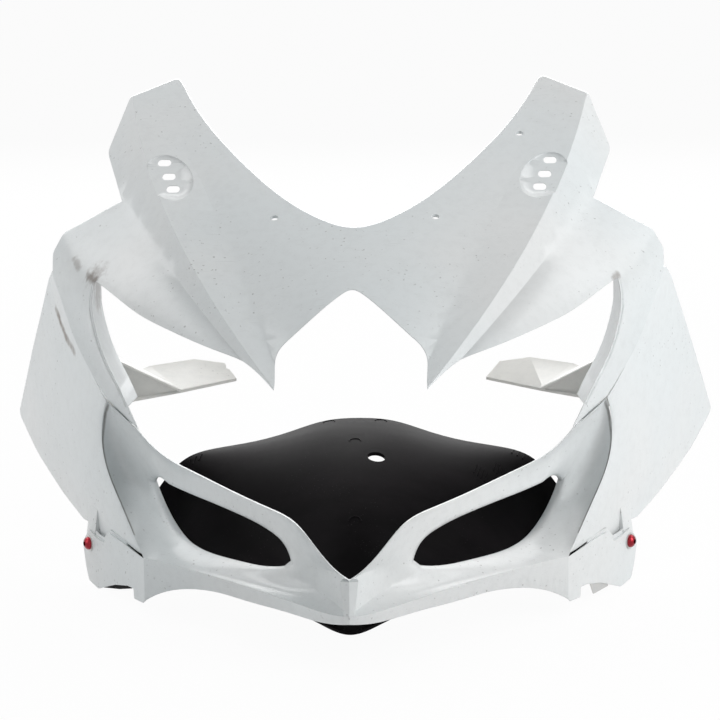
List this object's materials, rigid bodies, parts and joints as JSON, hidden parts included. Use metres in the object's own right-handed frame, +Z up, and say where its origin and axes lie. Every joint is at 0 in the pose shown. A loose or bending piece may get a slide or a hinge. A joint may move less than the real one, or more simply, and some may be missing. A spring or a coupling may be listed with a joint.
{
  "type": "motorcycle front upper fairing",
  "caption": "White sport-bike front fairing: swept upper cowl with mirror ears, open headlight bay, scooped nose with ram-air nostrils, side panels and a black under panel.",
  "frame": {"origin": "middle of the base: on the mid-plane, half way along the length, at the lowest point of the nose wings", "axes": "+X to the rider's left (the picture's right), +Y rearward from the nose tip, +Z up"},
  "size_m": [0.6756, 0.5225, 0.439],
  "materials": {
    "white_shell": "raw white ABS, semi-gloss, scuffed",
    "white_cover": "off-white ABS, satin",
    "black_panel": "black ABS, satin to glossy",
    "red_anodised": "red anodised, polished dome",
    "steel": "zinc plated"
  },
  "bodies": {
    "root": {"upper_cowl": "white_shell", "nose_cowl": "white_shell", "under_panel": "black_panel", "side_panel_left": "white_shell", "side_panel_right": "white_shell", "inner_cover_left": "white_cover", "inner_cover_right": "white_cover", "bolt_washer_left": "steel", "bolt_washer_right": "steel", "red_bolt_left": "red_anodised", "red_bolt_right": "red_anodised", "clip_nut_left": "steel", "clip_nut_right": "steel", "leg_screw_left": "steel", "leg_screw_right": "steel", "cover_screw_left": "steel", "cover_screw_right": "steel"}
  },
  "joints": []
}
